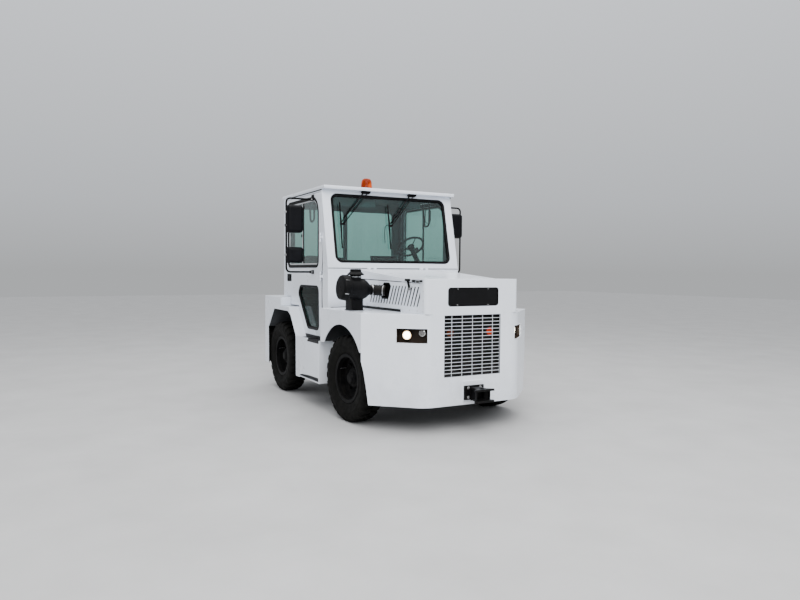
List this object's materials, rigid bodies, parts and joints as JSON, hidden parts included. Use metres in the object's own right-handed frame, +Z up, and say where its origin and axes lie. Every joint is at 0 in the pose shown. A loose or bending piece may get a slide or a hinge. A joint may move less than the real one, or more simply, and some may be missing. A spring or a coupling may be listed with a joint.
{
  "type": "aircraft pushback tractor",
  "caption": "Two-axle airport tow tractor with a tall rear cab, low louvred hood, slanted front corners and jaw couplings at both ends.",
  "frame": {"origin": "on the ground, under the middle of the vehicle's outline", "axes": "+X forward along the vehicle, +Y to its left, +Z up"},
  "size_m": [4.339, 2.66, 3.013],
  "materials": {
    "body_white": "gloss white enamel",
    "chassis_black": "satin black chassis paint",
    "cast_black": "painted castings, satin black",
    "coupling_black": "satin black, worn at the jaw",
    "engine_grey": "matt grey",
    "trim_black": "satin black",
    "trim_plastic": "grained black plastic",
    "lamp_housing": "matt black housings",
    "beacon_amber": "clear amber lens",
    "floor_rubber": "ribbed floor mat",
    "seat_vinyl": "black vinyl",
    "window_glass": "green tinted glass",
    "rim_black": "semi-gloss black",
    "tyre": "dusty black rubber",
    "hose_rubber": "ribbed black rubber"
  },
  "bodies": {
    "vehicle": {"chassis_frame": "chassis_black", "front_shell": "body_white", "front_fenders": "body_white", "hood_sides": "body_white", "grille": "body_white", "front_plate": "trim_black", "lamps": "lamp_housing", "front_coupling": "coupling_black", "rear_coupling": "coupling_black", "cab_front": "body_white", "cab_frame": "body_white", "cab_roof": "body_white", "cab_floor": "floor_rubber", "cab_glass": "window_glass", "dashboard": "trim_plastic", "steering_wheel": "trim_plastic", "seats": "seat_vinyl", "rear_body": "body_white", "rear_fenders": "body_white", "step_boxes": "body_white", "front_axle": "cast_black", "rear_axle": "cast_black", "leaf_springs": "chassis_black", "powertrain": "engine_grey", "beacon": "beacon_amber", "wipers": "trim_black", "air_cleaner": "trim_plastic", "intake_hose": "hose_rubber"},
    "hood": {"hood_lid": "body_white"},
    "right_door": {"door_right": "body_white", "door_glass_right": "window_glass", "mirror_right": "trim_plastic"},
    "left_door": {"door_left": "body_white", "door_glass_left": "window_glass", "mirror_left": "trim_plastic"},
    "right_knuckle": {"knuckle_right": "cast_black"},
    "left_knuckle": {"knuckle_left": "cast_black"},
    "front_wheel_right": {"front_rim_right": "rim_black", "front_tyre_right": "tyre"},
    "front_wheel_left": {"front_rim_left": "rim_black", "front_tyre_left": "tyre"},
    "rear_wheel_right": {"rear_rim_right": "rim_black", "rear_tyre_right": "tyre"},
    "rear_wheel_left": {"rear_rim_left": "rim_black", "rear_tyre_left": "tyre"}
  },
  "joints": [
    {"name": "hood_hinge", "type": "hinge", "parent": "vehicle", "child": "hood", "pos_m": [0.2125, 0, 1.749], "axis": [0, -1, 0], "range_deg": [0, 60]},
    {"name": "door_right_hinge", "type": "hinge", "parent": "vehicle", "child": "right_door", "pos_m": [-0.033, -0.972, 1.6], "axis": [0, 0, 1], "range_deg": [0, 75]},
    {"name": "door_left_hinge", "type": "hinge", "parent": "vehicle", "child": "left_door", "pos_m": [-0.033, 0.972, 1.6], "axis": [0, 0, -1], "range_deg": [0, 75]},
    {"name": "steer_left", "type": "hinge", "parent": "vehicle", "child": "left_knuckle", "pos_m": [0.912, 0.735, 0.492], "axis": [0, 0, 1], "range_deg": [-34, 26]},
    {"name": "steer_right", "type": "hinge", "parent": "vehicle", "child": "right_knuckle", "pos_m": [0.912, -0.735, 0.492], "axis": [0, 0, 1], "range_deg": [-34, 26]},
    {"name": "spin_front_left", "type": "hinge", "parent": "left_knuckle", "child": "front_wheel_left", "pos_m": [0.89784, 0.93751, 0.492], "axis": [-0.0698, 0.9976, 0], "continuous": true},
    {"name": "spin_front_right", "type": "hinge", "parent": "right_knuckle", "child": "front_wheel_right", "pos_m": [0.92616, -0.93751, 0.492], "axis": [-0.0698, 0.9976, 0], "continuous": true},
    {"name": "spin_rear_left", "type": "hinge", "parent": "vehicle", "child": "rear_wheel_left", "pos_m": [-1.342, 0.938, 0.492], "axis": [0, 1, 0], "continuous": true},
    {"name": "spin_rear_right", "type": "hinge", "parent": "vehicle", "child": "rear_wheel_right", "pos_m": [-1.342, -0.938, 0.492], "axis": [0, 1, 0], "continuous": true}
  ],
  "couplings": [
    {"joint": "steer_right", "follows": "steer_left", "ratio": 1}
  ]
}
